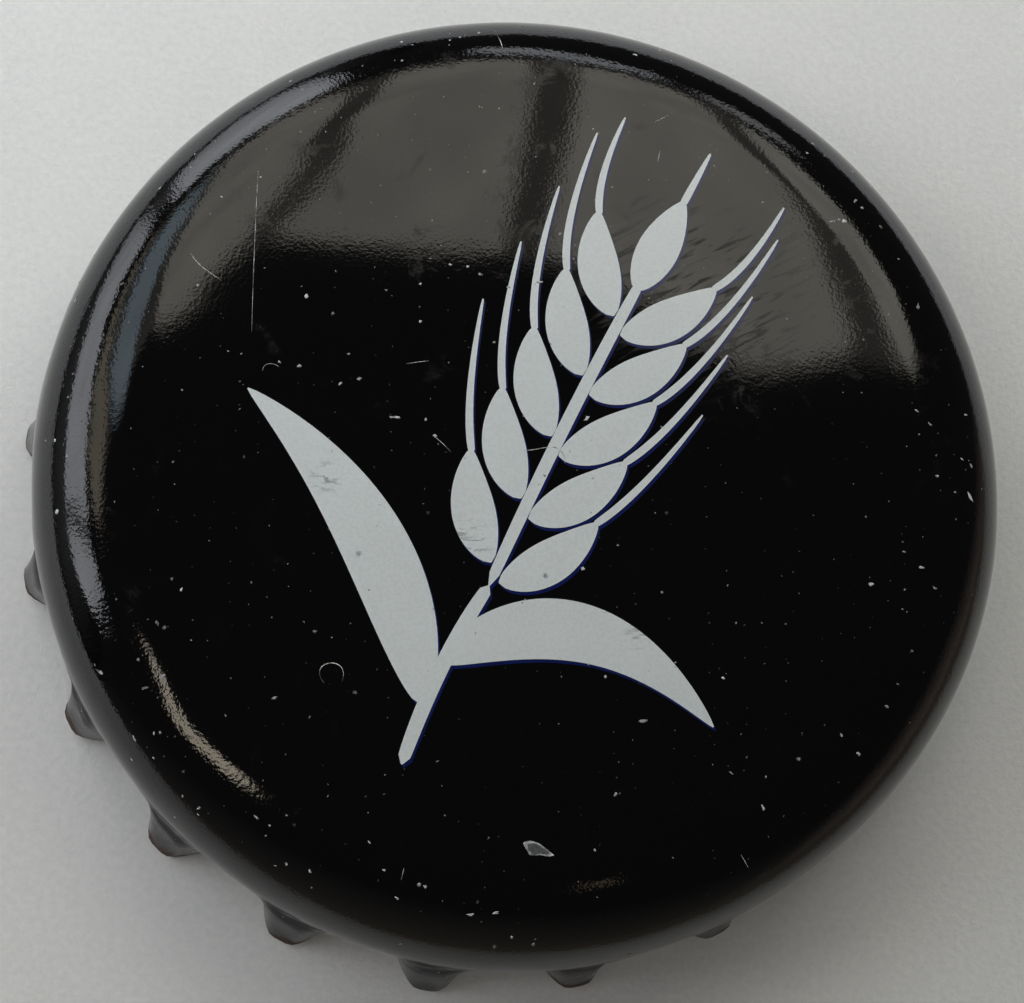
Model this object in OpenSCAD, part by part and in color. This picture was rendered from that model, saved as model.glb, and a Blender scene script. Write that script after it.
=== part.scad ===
// Crown cap for a 26 mm bottle mouth, crimped once and lifted off with an opener.
// A tinplate shell, drawn and fluted in the press, holds a sealing liner moulded on to its inside.
// Millimetres, +Z up through the panel. The cap stands on the edge of its skirt, with the origin
// on its axis at the level of that edge, and +Y is the top of what is printed on the panel.

/* [Shell] */
// Outside diameter of the shoulder, above the teeth
crown_d = 27.2; // [26.8:0.1:27.8]
// Height from the edge of the skirt to the middle of the panel
crown_h = 6; // [5.7:0.05:6.4]
// Thickness of the tinplate
sheet_t = 0.24; // [0.18:0.01:0.28]

/* [Panel] */
// Radius of the shallow dome of the panel
dome_r = 170; // [120:5:260]
// Outside radius of the gentle bend where the panel begins to turn down
ease_r = 6; // [4:0.5:9]
// Angle from the axis at which that gentle bend gives way to the shoulder
ease_a = 15; // [10:1:25]
// Outside radius of the shoulder, down to the skirt
shoulder_r = 2.4; // [1.8:0.1:2.8]

/* [Teeth] */
// Number of teeth round the skirt
tooth_count = 21; // [18:1:23]
// Diameter across the tips of the teeth
tooth_d = 29; // [28.4:0.1:30]
// Diameter across the valleys between the teeth, at the edge
valley_d = 27; // [26.3:0.1:27.1]
// Height above the edge at which the arches between the teeth close
flute_h = 4.4; // [3.8:0.1:4.8]
// Width of a tooth at the edge, between the feet of two arches
foot_w = 2.6; // [2.2:0.1:3]
// Width of the crest of a tooth at the edge
crest_w = 0.4; // [0.3:0.05:0.8]
// Width of that crest where the arches close
crest_top_w = 1.2; // [0.8:0.1:1.8]
// Power of a tooth's swing outwards: 1 is straight, and more swings out nearer the tip
flare = 2.4; // [1.4:0.1:3]
// How far the tips of the teeth stand above the edge of the valleys
tooth_lift = 0.2; // [0:0.05:0.4]
// Turn of the first tooth from +X towards +Y, in degrees
first_tooth = 2.8; // [0:0.1:17]

/* [Opener's dent] */
// Bearing of the middle of the dent, in degrees
dent_at = 303; // [0:1:359]
// Angle from there to where the dent ends
dent_span = 45; // [30:1:70]
// How far the edge is pushed in
dent_in = 0.5; // [0:0.05:0.6]
// Bearing of the middle of the stretch that is dragged round, in degrees
drag_at = 335; // [0:1:359]
// Angle from there to where that stretch ends
drag_span = 50; // [40:1:70]
// How far it is dragged round, in degrees
drag_turn = 5; // [0:0.5:6]

/* [Liner] */
// Clear space between the rim of the liner and the inside of the skirt
liner_clear = 1.1; // [0.8:0.1:1.5]
// Thickness of the thin disc inside the sealing ring
disc_t = 0.25; // [0.2:0.05:0.4]
// Thickness of the flat land that the mouth of the bottle presses on
land_t = 0.5; // [0.4:0.05:0.8]
// Width of that land
land_w = 1.6; // [1.2:0.1:2]
// Width of each of the two round beads, one on each side of the land
bead_w = 0.8; // [0.6:0.1:1]

/* [Hidden] */

lacquer_black = [0.05, 0.05, 0.06];
compound_white = [0.86, 0.85, 0.8];

// Film between the liner and the sheet
liner_gap = 0.08;

// The section from the middle of the panel to the skirt is three arcs, each tangent to the next.
// Each arc's centre is a radius and a height, and the dome's lies on the axis.
shoulder_a = 90;
dome_a = asin((crown_d / 2 - shoulder_r - (ease_r - shoulder_r) * sin(ease_a)) / (dome_r - ease_r));
dome_c = [0, crown_h - dome_r];
ease_c = dome_c + (dome_r - ease_r) * [sin(dome_a), cos(dome_a)];
shoulder_c = ease_c + (ease_r - shoulder_r) * [sin(ease_a), cos(ease_a)];
skirt_z = shoulder_c[1];

// Rings of the shell's mesh, as stations of its section: 0 is the middle of the panel, 1 the end of
// the dome, 2 the end of the gentle bend, 3 the end of the shoulder and 4 the edge of the skirt.
rings = [2, 2, 5, 5];
stations = [for (k = [0:3]) for (i = [1:rings[k]]) k + i / rings[k]];

// Columns of the mesh: flank_steps faces down each flank of a tooth, one across its crest and two
// across the valley.
flank_steps = 3;
tooth_columns = 2 * flank_steps + 3;
valley_arc = PI * valley_d / tooth_count;

// Step along the skin, for the slopes that the thickness is set off square to
slope_step = 0.001;

// Smooth rise from 0 to 1, level at both ends.
function smooth(t) = let (x = min(1, max(0, t))) x * x * (3 - 2 * x);

// Point of the section above the skirt, at a station and at a depth inside the outer skin.
function arch(station, deep) =
    let (
        k = min(2, floor(station)),
        centre = [dome_c, ease_c, shoulder_c][k],
        r = [dome_r, ease_r, shoulder_r][k] - deep,
        ends = [0, dome_a, ease_a, shoulder_a],
        a = ends[k] + (station - k) * (ends[k + 1] - ends[k]))
    centre + r * [sin(a), cos(a)];

// Radius of the skirt in the valleys, which draws in from the shoulder to the edge.
function valley_r(z) = crown_d / 2 - (crown_d - valley_d) / 2 * pow(1 - z / skirt_z, 2);

// How far down the teeth a height lies: 0 where they run out and 1 at their tips.
function reach(z) = max(0, (flute_h - z) / (flute_h - tooth_lift));

// Half of a tooth's width at its foot, as a share of the pitch. It is the whole pitch where the
// arches close and narrows with the square root of the way down, so that the arches are round.
function foot(z) = 0.5 + (foot_w / 2 / valley_arc - 0.5) * sqrt(min(1, reach(z)));

// Half of the width of its crest, as a share of the pitch.
function crest(z) = (crest_top_w + (crest_w - crest_top_w) * min(1, reach(z))) / 2 / valley_arc;

// Form of a tooth across its width: 1 on its crest and 0 from its foot on. u counts teeth.
function ridge(u, z) = smooth((foot(z) - abs(u - round(u))) / (foot(z) - crest(z)));

// Share of a bump at a bearing: 1 in its middle, at one bearing, and 0 from its span on.
function bump(a, at, span) = smooth(1 - acos(cos(a - at)) / span);

// Radius and height of the section in a valley, at a station, for an edge at height edge_z.
function section(station, edge_z) =
    station <= 3 ? arch(station, 0) :
    let (z = skirt_z + (station - 3) * (edge_z - skirt_z))
    [valley_r(z), z];

// Point of the outer skin, u teeth round from the first one. The opener's push grows evenly from
// the panel down to the edge.
function skin(u, station) =
    let (
        p = section(station, tooth_lift * ridge(u, tooth_lift)),
        swing = (tooth_d / 2 - valley_r(tooth_lift)) * pow(reach(p[1]), flare),
        a = first_tooth + 360 * u / tooth_count,
        push = dent_in * bump(a, dent_at, dent_span) * (1 - p[1] / crown_h),
        r = p[0] + swing * ridge(u, p[1]) - push,
        turn = a + drag_turn * bump(a, drag_at, drag_span))
    [r * cos(turn), r * sin(turn), p[1]];

// Point of the inner skin, one thickness of sheet inside the outer one. On the edge it slides down
// the skirt to the height of the outer point, because the edge is sheared level.
function lining(u, station) =
    let (
        down = skin(u, station + slope_step) - skin(u, station - slope_step),
        along = skin(u + slope_step, station) - skin(u - slope_step, station),
        out = cross(down, along) / norm(cross(down, along)),
        outer = skin(u, station),
        inner = outer - sheet_t * out)
    station < 4 ? inner : inner + down * (outer[2] - inner[2]) / down[2];

// Places of a ring's columns, in teeth from the first one, at this height. They lie on the crests,
// flanks and valleys of the teeth, and spread out evenly above them.
function places(z) =
    let (
        spread = max(0, 1 - 3 * reach(z)),
        side = [for (i = [0:flank_steps])
            let (own = crest(z) + (foot(z) - crest(z)) * i / flank_steps)
            own + spread * ((i + 0.5) / tooth_columns - own)])
    [for (tooth = [0:tooth_count - 1]) each concat(
        [for (i = [0:flank_steps]) tooth + side[i]],
        [tooth + 0.5],
        [for (i = [flank_steps:-1:0]) tooth + 1 - side[i]])];

// Closed skin through rings of points, with a single point before the first and after the last.
module loft(rings, first, last) {
    n = len(rings[0]);
    m = len(rings);
    function at(i, j) = 1 + i * n + j % n;
    fan_first = [for (j = [0:n - 1]) [0, at(0, j + 1), at(0, j)]];
    bands = [for (i = [0:m - 2]) for (j = [0:n - 1])
        each j % tooth_columns < tooth_columns / 2
            ? [[at(i, j), at(i, j + 1), at(i + 1, j + 1)], [at(i, j), at(i + 1, j + 1), at(i + 1, j)]]
            : [[at(i, j), at(i, j + 1), at(i + 1, j)], [at(i, j + 1), at(i + 1, j + 1), at(i + 1, j)]]];
    fan_last = [for (j = [0:n - 1]) [1 + m * n, at(m - 1, j), at(m - 1, j + 1)]];
    polyhedron(
        points = concat([first], [for (ring = rings) each ring], [last]),
        faces = concat(fan_first, bands, fan_last));
}

// Sheet steel, tinned and lacquered: panel, bend and fluted skirt in one piece.
module crown_shell() {
    outer = [for (s = stations) [for (u = places(section(s, 0)[1])) skin(u, s)]];
    inner = [for (s = stations) [for (u = places(section(s, 0)[1])) lining(u, s)]];
    color(lacquer_black)
        loft(
            concat(outer, [for (i = [len(inner) - 1:-1:0]) inner[i]]),
            [0, 0, crown_h],
            [0, 0, crown_h - sheet_t]);
}

// Points of an arc of a section, from one angle to another, anticlockwise from +X.
function arc(centre, r, from, to, steps) =
    [for (i = [0:steps]) let (a = from + (to - from) * i / steps) centre + r * [cos(a), sin(a)]];

// Sealing compound, moulded in place: a thin disc, with a flat land between two beads round its
// rim. Its upper side follows the inside of the panel and reaches a little way round the bend.
module seal_liner() {
    deep = sheet_t + liner_gap;
    liner_r = crown_d / 2 - sheet_t - liner_clear;
    outer_bead_r = liner_r - bead_w / 2;
    inner_bead_r = outer_bead_r - bead_w - land_w;
    land_z = arch(2, deep)[1] - land_t;
    // Stations at which the roof reaches the liner's rim, and the floor the inner bead
    rim = 2 + (asin((liner_r - shoulder_c[0]) / (shoulder_r - deep)) - ease_a) / (shoulder_a - ease_a);
    hub = asin((inner_bead_r - bead_w / 2) / (dome_r - deep - disc_t)) / dome_a;
    roof = [for (s = [0, 0.5, 1, 1.5, 2, (2 + rim) / 2, rim]) arch(s, deep)];
    beads = [for (r = [outer_bead_r, inner_bead_r]) each arc([r, land_z], bead_w / 2, 0, -180, 8)];
    disc = [for (i = [3:-1:0]) arch(hub * i / 3, deep + disc_t)];
    color(compound_white)
        rotate_extrude($fn = 120)
            polygon(concat(roof, beads, disc));
}

crown_shell();
seal_liner();
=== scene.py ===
"""A used crown cap, standing teeth down: its fluted shell, its sealing liner, the ear of grain that is
printed on it, and the wear of a cap that has been opened. Metres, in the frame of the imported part."""

from math import cos, pi, radians, sin

import bpy
import numpy as np
from mathutils import Matrix, Vector


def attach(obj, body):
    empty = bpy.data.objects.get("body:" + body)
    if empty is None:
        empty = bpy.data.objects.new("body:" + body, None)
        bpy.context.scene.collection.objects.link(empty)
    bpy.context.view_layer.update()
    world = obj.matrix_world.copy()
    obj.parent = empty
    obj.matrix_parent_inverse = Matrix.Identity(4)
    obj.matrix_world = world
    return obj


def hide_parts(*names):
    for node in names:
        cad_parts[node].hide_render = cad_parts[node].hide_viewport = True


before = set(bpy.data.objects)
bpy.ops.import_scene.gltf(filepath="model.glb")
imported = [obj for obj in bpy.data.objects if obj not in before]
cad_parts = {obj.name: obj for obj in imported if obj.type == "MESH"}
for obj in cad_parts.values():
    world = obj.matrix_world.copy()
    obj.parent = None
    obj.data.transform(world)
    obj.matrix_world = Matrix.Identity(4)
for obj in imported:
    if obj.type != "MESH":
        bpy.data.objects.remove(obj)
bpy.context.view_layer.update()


# ---------------------------------------------------------------- crown shell
# One disc of tinplate, 0.24 mm thick, drawn to a shallow dome with a round shoulder and a skirt of
# 21 teeth, lacquered glossy black outside and clear inside. The press forms and shears it in one
# stroke, so its skin is one surface in two directions: u counts teeth round the cap, and a station
# runs down the section: 0 at the middle, 1, 2 and 3 at the ends of its three arcs, 4 at the edge.

MM = 0.001

crown_d = 27.2
crown_h = 6.0
sheet_t = 0.24
dome_r = 170.0
ease_r = 6.0
ease_a = radians(15)
shoulder_r = 2.4
tooth_count = 21
tooth_d = 29.0
valley_d = 27.0
flute_h = 4.4
foot_w = 2.6
crest_w = 0.4
crest_top_w = 1.2
flare = 2.4
tooth_lift = 0.2
first_tooth = radians(2.8)
dent_at, dent_span, dent_in = radians(303), radians(45), 0.5
drag_at, drag_span, drag_turn = radians(335), radians(50), radians(5)

dome_a = np.arcsin((crown_d / 2 - shoulder_r - (ease_r - shoulder_r) * sin(ease_a)) / (dome_r - ease_r))
arc_r = np.array([dome_r, ease_r, shoulder_r])
arc_ends = np.array([0, dome_a, ease_a, pi / 2])
arc_c = np.cumsum([
    [0, crown_h - dome_r],
    [(dome_r - ease_r) * sin(dome_a), (dome_r - ease_r) * cos(dome_a)],
    [(ease_r - shoulder_r) * sin(ease_a), (ease_r - shoulder_r) * cos(ease_a)]], axis=0)
skirt_z = arc_c[2, 1]
valley_arc = pi * valley_d / tooth_count


def smooth(t):
    """Rise from 0 to 1 that is level at both ends: 3 t^2 - 2 t^3, with t held between 0 and 1."""
    t = np.clip(t, 0, 1)
    return t * t * (3 - 2 * t)


def arch(station):
    """Radius and height of the three arcs: each arc's centre plus its radius times (sin, cos) of an
    angle that grows evenly with the station."""
    k = np.clip(np.floor(station), 0, 2).astype(int)
    a = arc_ends[k] + (station - k) * (arc_ends[k + 1] - arc_ends[k])
    return arc_c[k, 0] + arc_r[k] * np.sin(a), arc_c[k, 1] + arc_r[k] * np.cos(a)


def valley_radius(z):
    """Radius of the skirt in its valleys: it draws in with the square of the way down."""
    return crown_d / 2 - (crown_d - valley_d) / 2 * np.clip(1 - z / skirt_z, 0, None) ** 2


def reach(z):
    """How far down the teeth a height lies: 0 where they run out and 1 at their tips."""
    return np.clip((flute_h - z) / (flute_h - tooth_lift), 0, None)


def ridge(u, z):
    """Form of a tooth across its width: 1 on its crest, a smooth fall down its flanks, 0 from its
    foot on. The crest narrows evenly with the reach, and the foot with its square root, so that
    what is left between two teeth is an arch."""
    down = np.minimum(1, reach(z))
    foot = 0.5 + (foot_w / 2 / valley_arc - 0.5) * np.sqrt(down)
    crest = (crest_top_w + (crest_w - crest_top_w) * down) / 2 / valley_arc
    return smooth((foot - np.abs(u - np.round(u))) / (foot - crest))


def bump(a, at, span):
    """Share of a bump at a bearing: 1 in its middle, 0 from its span on, with a smooth fall."""
    return smooth(1 - np.arccos(np.cos(a - at)) / span)


def skin(u, station):
    """Outer skin: the section turned about the axis and swung out along each tooth's ridge by a
    power of the reach. An opener has pushed it in, evenly more with the way down, and dragged it
    round beside that. Returns points, in millimetres."""
    edge_z = tooth_lift * ridge(u, tooth_lift)
    r, z = arch(np.minimum(station, 3))
    fall = np.clip(station - 3, 0, None)
    z = np.where(fall > 0, skirt_z + fall * (edge_z - skirt_z), z)
    r = np.where(fall > 0, valley_radius(z), r)
    r = r + (tooth_d / 2 - valley_radius(tooth_lift)) * reach(z) ** flare * ridge(u, z)
    a = first_tooth + 2 * pi * u / tooth_count
    r = r - dent_in * bump(a, dent_at, dent_span) * (1 - z / crown_h)
    a = a + drag_turn * bump(a, drag_at, drag_span)
    return np.stack([r * np.cos(a), r * np.sin(a), z], -1)


def unit(vectors):
    """Each vector over its own length."""
    return vectors / np.linalg.norm(vectors, axis=-1, keepdims=True)


def outward(u, station):
    """The skin's unit normal, from the cross product of its slopes down and along the section, and
    the slope down it."""
    step = 1e-3
    down = skin(u, station + step) - skin(u, station - step)
    along = skin(u + step, station) - skin(u - step, station)
    return unit(np.cross(down, along)), down


def lining(u, station):
    """Inner skin: the outer one less its unit normal times the thickness of the sheet. On the edge
    it slides down the skirt to the outer point's height, because the edge is sheared level."""
    out, down = outward(u, station)
    outer = skin(u, station)
    inner = outer - sheet_t * out
    slide = down * ((outer - inner)[..., 2:] / down[..., 2:])
    return np.where((station >= 4)[..., None], inner + slide, inner)


def add_mesh(name, points, faces):
    """A smooth mesh piece of the shell's finish, from points in millimetres and its faces."""
    mesh = bpy.data.meshes.new(name)
    mesh.from_pydata((points.reshape(-1, 3) * MM).tolist(), [], faces)
    mesh.shade_smooth()
    piece = bpy.data.objects.new(name, mesh)
    bpy.context.scene.collection.objects.link(piece)
    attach(piece, "root")
    return piece


def ring_faces(rows, columns):
    """Quads between rings of points that each close on themselves. They face outwards where the rows
    run down and the columns run anticlockwise."""
    i, j = np.meshgrid(np.arange(rows - 1) * columns, np.arange(columns), indexing="ij")
    j2 = (j + 1) % columns
    return np.stack([i + j, i + columns + j, i + columns + j2, i + j2], -1).reshape(-1, 4)


def cap_faces(row, columns, apex, flip):
    """Triangles from a ring of points to the single point that closes it."""
    j = np.arange(columns)
    a, b = row * columns + j, row * columns + (j + 1) % columns
    fan = np.stack([a, b, np.full(columns, apex)], -1)
    return fan[:, ::-1] if flip else fan


def spread(start, end, count):
    """Stations from just after one to another."""
    return np.linspace(start, end, count + 1)[1:]


columns = 24 * tooth_count
outer_rows = np.concatenate([
    spread(0, 1, 12), spread(1, 2, 10), spread(2, 3, 30), spread(3, 3.97, 30), [3.99, 4]])
inner_rows = np.concatenate([
    [4, 3.98], spread(3.96, 3, 20), spread(3, 2, 16), spread(2, 1, 6), spread(1, 0.08, 8)])
edge_steps = [0.1, 0.5, 0.9]
u = np.arange(columns) * tooth_count / columns
outer_u, outer_s = np.meshgrid(u, outer_rows)
inner_u, inner_s = np.meshgrid(u, inner_rows)
outer, inner = skin(outer_u, outer_s), lining(inner_u, inner_s)
edge = np.stack([outer[-1] + (inner[0] - outer[-1]) * t for t in edge_steps])
rings = np.concatenate([outer, edge, inner])
poles = np.array([[0, 0, crown_h], [0, 0, crown_h - sheet_t]])
row_count = len(rings)
quads = ring_faces(row_count, columns)
fans = [cap_faces(0, columns, row_count * columns, False),
        cap_faces(row_count - 1, columns, row_count * columns + 1, True)]
shell = add_mesh("crown_shell_pressed", np.concatenate([rings.reshape(-1, 3), poles]),
                 quads.tolist() + fans[0].tolist() + fans[1].tolist())
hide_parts("crown_shell")

# Finishes by row: 0 is lacquer, 1 the sheared edge and 2 the tin inside.
first_edge, last_edge = len(outer_rows) - 1, len(outer_rows) + len(edge_steps) - 1
row_finish = np.zeros(row_count - 1, int)
row_finish[first_edge:last_edge + 1] = 1
row_finish[last_edge + 1:] = 2
finish = np.concatenate([np.repeat(row_finish, columns), np.zeros(columns, int), np.full(columns, 2)])
shell.data.polygons.foreach_set("material_index", finish.astype(np.int32))

# What the patterns follow: millimetres up the skirt from its edge, how much the press has stretched the
# film, and the crests of the teeth where they leave the shoulder. The poles come last.
station_of = np.concatenate([outer_rows, np.full(len(edge_steps), 4.0), inner_rows])
up = np.append(np.repeat((4 - station_of) * skirt_z, columns), [4 * skirt_z, 4 * skirt_z])
bend = np.append(np.repeat(smooth(station_of - 1.2) + 1.5 * smooth(station_of - 2.9), columns), [0, 0])
root = ridge(outer_u, outer[..., 2]) ** 2 * smooth((outer_s - 2.8) / 0.2) * smooth((3.9 - outer_s) / 0.6)
root = np.append(root.ravel(), np.zeros((row_count - len(outer_rows)) * columns + 2))
for name, values in (("edge_mm", up), ("bend", bend), ("tooth_root", root)):
    shell.data.attributes.new(name, "FLOAT", "POINT").data.foreach_set("value", values.astype(np.float32))


def linear(hex_colour):
    """An sRGB hex colour as linear red, green, blue and alpha."""
    c = np.array([int(hex_colour[i:i + 2], 16) for i in (1, 3, 5)]) / 255
    c = np.where(c <= 0.04045, c / 12.92, ((c + 0.055) / 1.055) ** 2.4)
    return (*c.tolist(), 1.0)


def feed(node, **links):
    """Inputs of a node, by name or by _number: each takes a value, another node's output, or another
    node, which stands for the first of its outputs that is in use."""
    for key, value in links.items():
        socket = node.inputs[int(key[1:]) if key[1:].isdigit() else key.replace("_", " ")]
        if isinstance(value, bpy.types.Node):
            value = next(output for output in value.outputs if output.enabled)
        if isinstance(value, bpy.types.NodeSocket):
            node.id_data.links.new(value, socket)
        else:
            socket.default_value = value


def add_node(tree, kind, settings=None, **links):
    """A new node of a tree, with its settings and links."""
    node = tree.nodes.new(kind)
    for key, value in (settings or {}).items():
        setattr(node, key, value)
    feed(node, **links)
    return node


def new_material(name, **links):
    """A material with one Principled shader, its tree, and the Object coordinates for its pattern."""
    material = bpy.data.materials.new(name)
    material.use_nodes = True
    tree = material.node_tree
    tree.nodes.clear()
    shader = add_node(tree, "ShaderNodeBsdfPrincipled", **links)
    add_node(tree, "ShaderNodeOutputMaterial", Surface=shader)
    return material, tree, shader, add_node(tree, "ShaderNodeTexCoord").outputs["Object"]


# Black epoxy lacquer, roller-coated on tinplate and stoved: a mirror with a fine orange peel that the
# press has stretched coarser on the shoulder. Dust lies on it, a greasy wipe and finger marks dull it,
# rust creeps up from the sheared edge, and the roots of the teeth are dulled in patches as painted shade.
peel_mm, wave_mm = 0.09, 1.1
lacquer, tree, shader, place = new_material("stoved_black_lacquer", IOR=1.5)
shell.data.materials.append(lacquer)
bent = add_node(tree, "ShaderNodeAttribute", {"attribute_name": "bend"}).outputs["Fac"]
peel = add_node(tree, "ShaderNodeTexNoise", Vector=place, Scale=1 / (peel_mm * MM), Detail=1.5)
wave = add_node(tree, "ShaderNodeTexNoise", Vector=place, Scale=1 / (wave_mm * MM), Detail=1.0)
peel_h = add_node(tree, "ShaderNodeMath", {"operation": "MULTIPLY_ADD"}, _0=bent, _1=0.0034, _2=0.0011)
wave_h = add_node(tree, "ShaderNodeMath", {"operation": "MULTIPLY_ADD"}, _0=bent, _1=0.0100, _2=0.0022)
fine = add_node(tree, "ShaderNodeMath", {"operation": "MULTIPLY"}, _0=peel, _1=peel_h)
height = add_node(tree, "ShaderNodeMath", {"operation": "MULTIPLY_ADD"}, _0=wave, _1=wave_h, _2=fine)
relief = add_node(tree, "ShaderNodeBump", Strength=1.0, Distance=MM, Height=height)
feed(shader, Normal=relief)

# Dust: one speck in a share of the cells, each of its own size and paleness, ragged by a fine noise.
ragged = add_node(tree, "ShaderNodeTexNoise", Vector=place, Scale=1 / (0.06 * MM), Detail=1.0)
shaken = add_node(tree, "ShaderNodeVectorMath", {"operation": "MULTIPLY_ADD"}, _0=ragged.outputs["Color"],
                  _1=(0.09 * MM,) * 3, _2=place)
height_up = add_node(tree, "ShaderNodeSeparateXYZ", Vector=place).outputs["Z"]
dusty = add_node(tree, "ShaderNodeMapRange", Value=height_up, _1=4.6 * MM, _2=5.1 * MM)
dust = None
for cell_mm, speck_mm, share in ((0.5, 0.030, 0.4), (1.6, 0.065, 0.45)):
    cells = add_node(tree, "ShaderNodeTexVoronoi", {"voronoi_dimensions": "2D"}, Vector=shaken,
                     Scale=1 / (cell_mm * MM))
    draw = add_node(tree, "ShaderNodeSeparateColor", Color=cells.outputs["Color"]).outputs
    size = add_node(tree, "ShaderNodeMath", {"operation": "POWER"}, _0=draw[1], _1=3.0)
    reach_of = add_node(tree, "ShaderNodeMapRange", Value=size, _3=0.35 * speck_mm / cell_mm,
                        _4=speck_mm / cell_mm)
    inside = add_node(tree, "ShaderNodeMapRange", Value=cells, _1=reach_of, _2=0.0)
    there = add_node(tree, "ShaderNodeMath", {"operation": "LESS_THAN"}, _0=draw[0], _1=share)
    pale = add_node(tree, "ShaderNodeMath", {"operation": "MULTIPLY"}, _0=there, _1=draw[2])
    speck = add_node(tree, "ShaderNodeMath", {"operation": "MULTIPLY"}, _0=inside, _1=pale)
    dust = speck if dust is None else add_node(
        tree, "ShaderNodeMath", {"operation": "MAXIMUM"}, _0=dust, _1=speck)
dust = add_node(tree, "ShaderNodeMath", {"operation": "MULTIPLY"}, _0=dust, _1=dusty)

# The greasy wipe: streaks along one direction that fade out round its middle.
wipe_at, wipe_r, wipe_turn = (4.3 * MM, 4.9 * MM, 5.8 * MM), 3.8 * MM, radians(28)
from_wipe = add_node(tree, "ShaderNodeVectorMath", {"operation": "SUBTRACT"}, _0=place, _1=wipe_at)
along_wipe = add_node(tree, "ShaderNodeMapping", Vector=from_wipe, Rotation=(0, 0, -wipe_turn))
stretched = add_node(tree, "ShaderNodeVectorMath", {"operation": "MULTIPLY"}, _0=along_wipe,
                     _1=(1 / (1.1 * MM), 1 / (0.16 * MM), 0))
streak = add_node(tree, "ShaderNodeTexNoise", Vector=stretched, Scale=1.0, Detail=3.0, Distortion=0.8)
wiped = add_node(tree, "ShaderNodeMapRange", Value=streak, _1=0.50, _2=0.64)
away = add_node(tree, "ShaderNodeVectorMath", {"operation": "LENGTH"}, _0=from_wipe)
near_wipe = add_node(tree, "ShaderNodeMapRange", Value=away, _1=wipe_r, _2=0.3 * wipe_r)
smear = add_node(tree, "ShaderNodeMath", {"operation": "MULTIPLY"}, _0=wiped, _1=near_wipe)

# Finger marks: dull blotches a millimetre or so across, here and there over the whole cap.
blotch = add_node(tree, "ShaderNodeTexNoise", Vector=place, Scale=1 / (1.3 * MM), Detail=6.0,
                  Roughness=0.65, Distortion=0.5)
handled = add_node(tree, "ShaderNodeMapRange", Value=blotch, _1=0.58, _2=0.74, _4=0.6)
grease = add_node(tree, "ShaderNodeMath", {"operation": "MAXIMUM"}, _0=smear, _1=handled)

# Rust that creeps up from the sheared edge, in patches that reach a few tenths of a millimetre.
up_mm = add_node(tree, "ShaderNodeAttribute", {"attribute_name": "edge_mm"}).outputs["Fac"]
patchy = add_node(tree, "ShaderNodeTexNoise", Vector=place, Scale=1 / (0.9 * MM), Detail=4.0)
creep = add_node(tree, "ShaderNodeMath", {"operation": "MULTIPLY_ADD"}, _0=patchy, _1=-1.5, _2=up_mm)
rusty = add_node(tree, "ShaderNodeMapRange", Value=creep, _1=-0.50, _2=-0.76)

# Painted shade where the teeth leave the shoulder: patches dulled so that the lacquer mirrors less and looks
# darker there, and no paler.
tooth_root = add_node(tree, "ShaderNodeAttribute", {"attribute_name": "tooth_root"}).outputs["Fac"]
patchy_root_painted_shade = add_node(tree, "ShaderNodeMapRange", Value=patchy, _1=0.3, _2=0.55, _3=0.25)
root_painted_shade = add_node(tree, "ShaderNodeMath", {"operation": "MULTIPLY"}, _0=patchy_root_painted_shade, _1=tooth_root)

# The colours from the film outwards, and how much each thing on it dulls it.
skin_tone = add_node(tree, "ShaderNodeMix", {"data_type": "RGBA"}, _0=dust, _6=linear("#040405"),
                     _7=linear("#d2d2cc"))
rust = add_node(tree, "ShaderNodeMix", {"data_type": "RGBA"}, _0=ragged, _6=linear("#20140e"),
                _7=linear("#5c3f2b"))
rust_tone = add_node(tree, "ShaderNodeMix", {"data_type": "RGBA"}, _0=rusty, _6=skin_tone, _7=rust)
dull = 0.05
# The last cover, at the roots of the teeth, is painted shade.
for cover, share in ((grease, 0.36), (dust, 0.5), (rusty, 0.6), (root_painted_shade, 0.7)):
    dull = add_node(tree, "ShaderNodeMath", {"operation": "MULTIPLY_ADD"}, _0=cover, _1=share, _2=dull)
feed(shader, Base_Color=rust_tone, Roughness=dull)

# Sheared steel: bare on the cut, with brown rust that has taken most of it.
steel, tree, shader, place = new_material("rusting_sheared_steel", Metallic=0.2, Roughness=0.75)
shell.data.materials.append(steel)
grain = add_node(tree, "ShaderNodeTexNoise", Vector=place, Scale=1 / (0.35 * MM), Detail=5.0)
steel_tone = add_node(tree, "ShaderNodeValToRGB", Fac=grain)
stops = steel_tone.color_ramp.elements
for at, colour in ((0.36, "#241812"), (0.52, "#5a3a26"), (0.70, "#8a7a6c")):
    stops.new(at).color = linear(colour)
stops.remove(stops[0])
stops.remove(stops[-1])
pits = add_node(tree, "ShaderNodeBump", Strength=0.6, Distance=0.02 * MM, Height=grain)
feed(shader, Base_Color=steel_tone, Normal=pits)

# Inside: bright tin with the grain of the rolls, warmed by a clear lacquer.
tin, tree, shader, place = new_material("tin_under_clear_lacquer", Metallic=1.0)
shell.data.materials.append(tin)
rolled = add_node(tree, "ShaderNodeVectorMath", {"operation": "MULTIPLY"}, _0=place, _1=(0.06, 1.0, 0.3))
rolls = add_node(tree, "ShaderNodeTexNoise", Vector=rolled, Scale=1 / (0.12 * MM), Detail=3.0)
warmth = add_node(tree, "ShaderNodeTexNoise", Vector=place, Scale=1 / (3.0 * MM), Detail=2.0)
tin_tone = add_node(tree, "ShaderNodeMix", {"data_type": "RGBA"}, _0=warmth, _6=linear("#cfcbbd"),
                    _7=linear("#bfb59a"))
tin_dull = add_node(tree, "ShaderNodeMapRange", Value=rolls, _1=0.3, _2=0.7, _3=0.22, _4=0.36)
rolled_in = add_node(tree, "ShaderNodeBump", Strength=0.5, Distance=0.002 * MM, Height=rolls)
feed(shader, Base_Color=tin_tone, Roughness=tin_dull, Normal=rolled_in)


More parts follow.
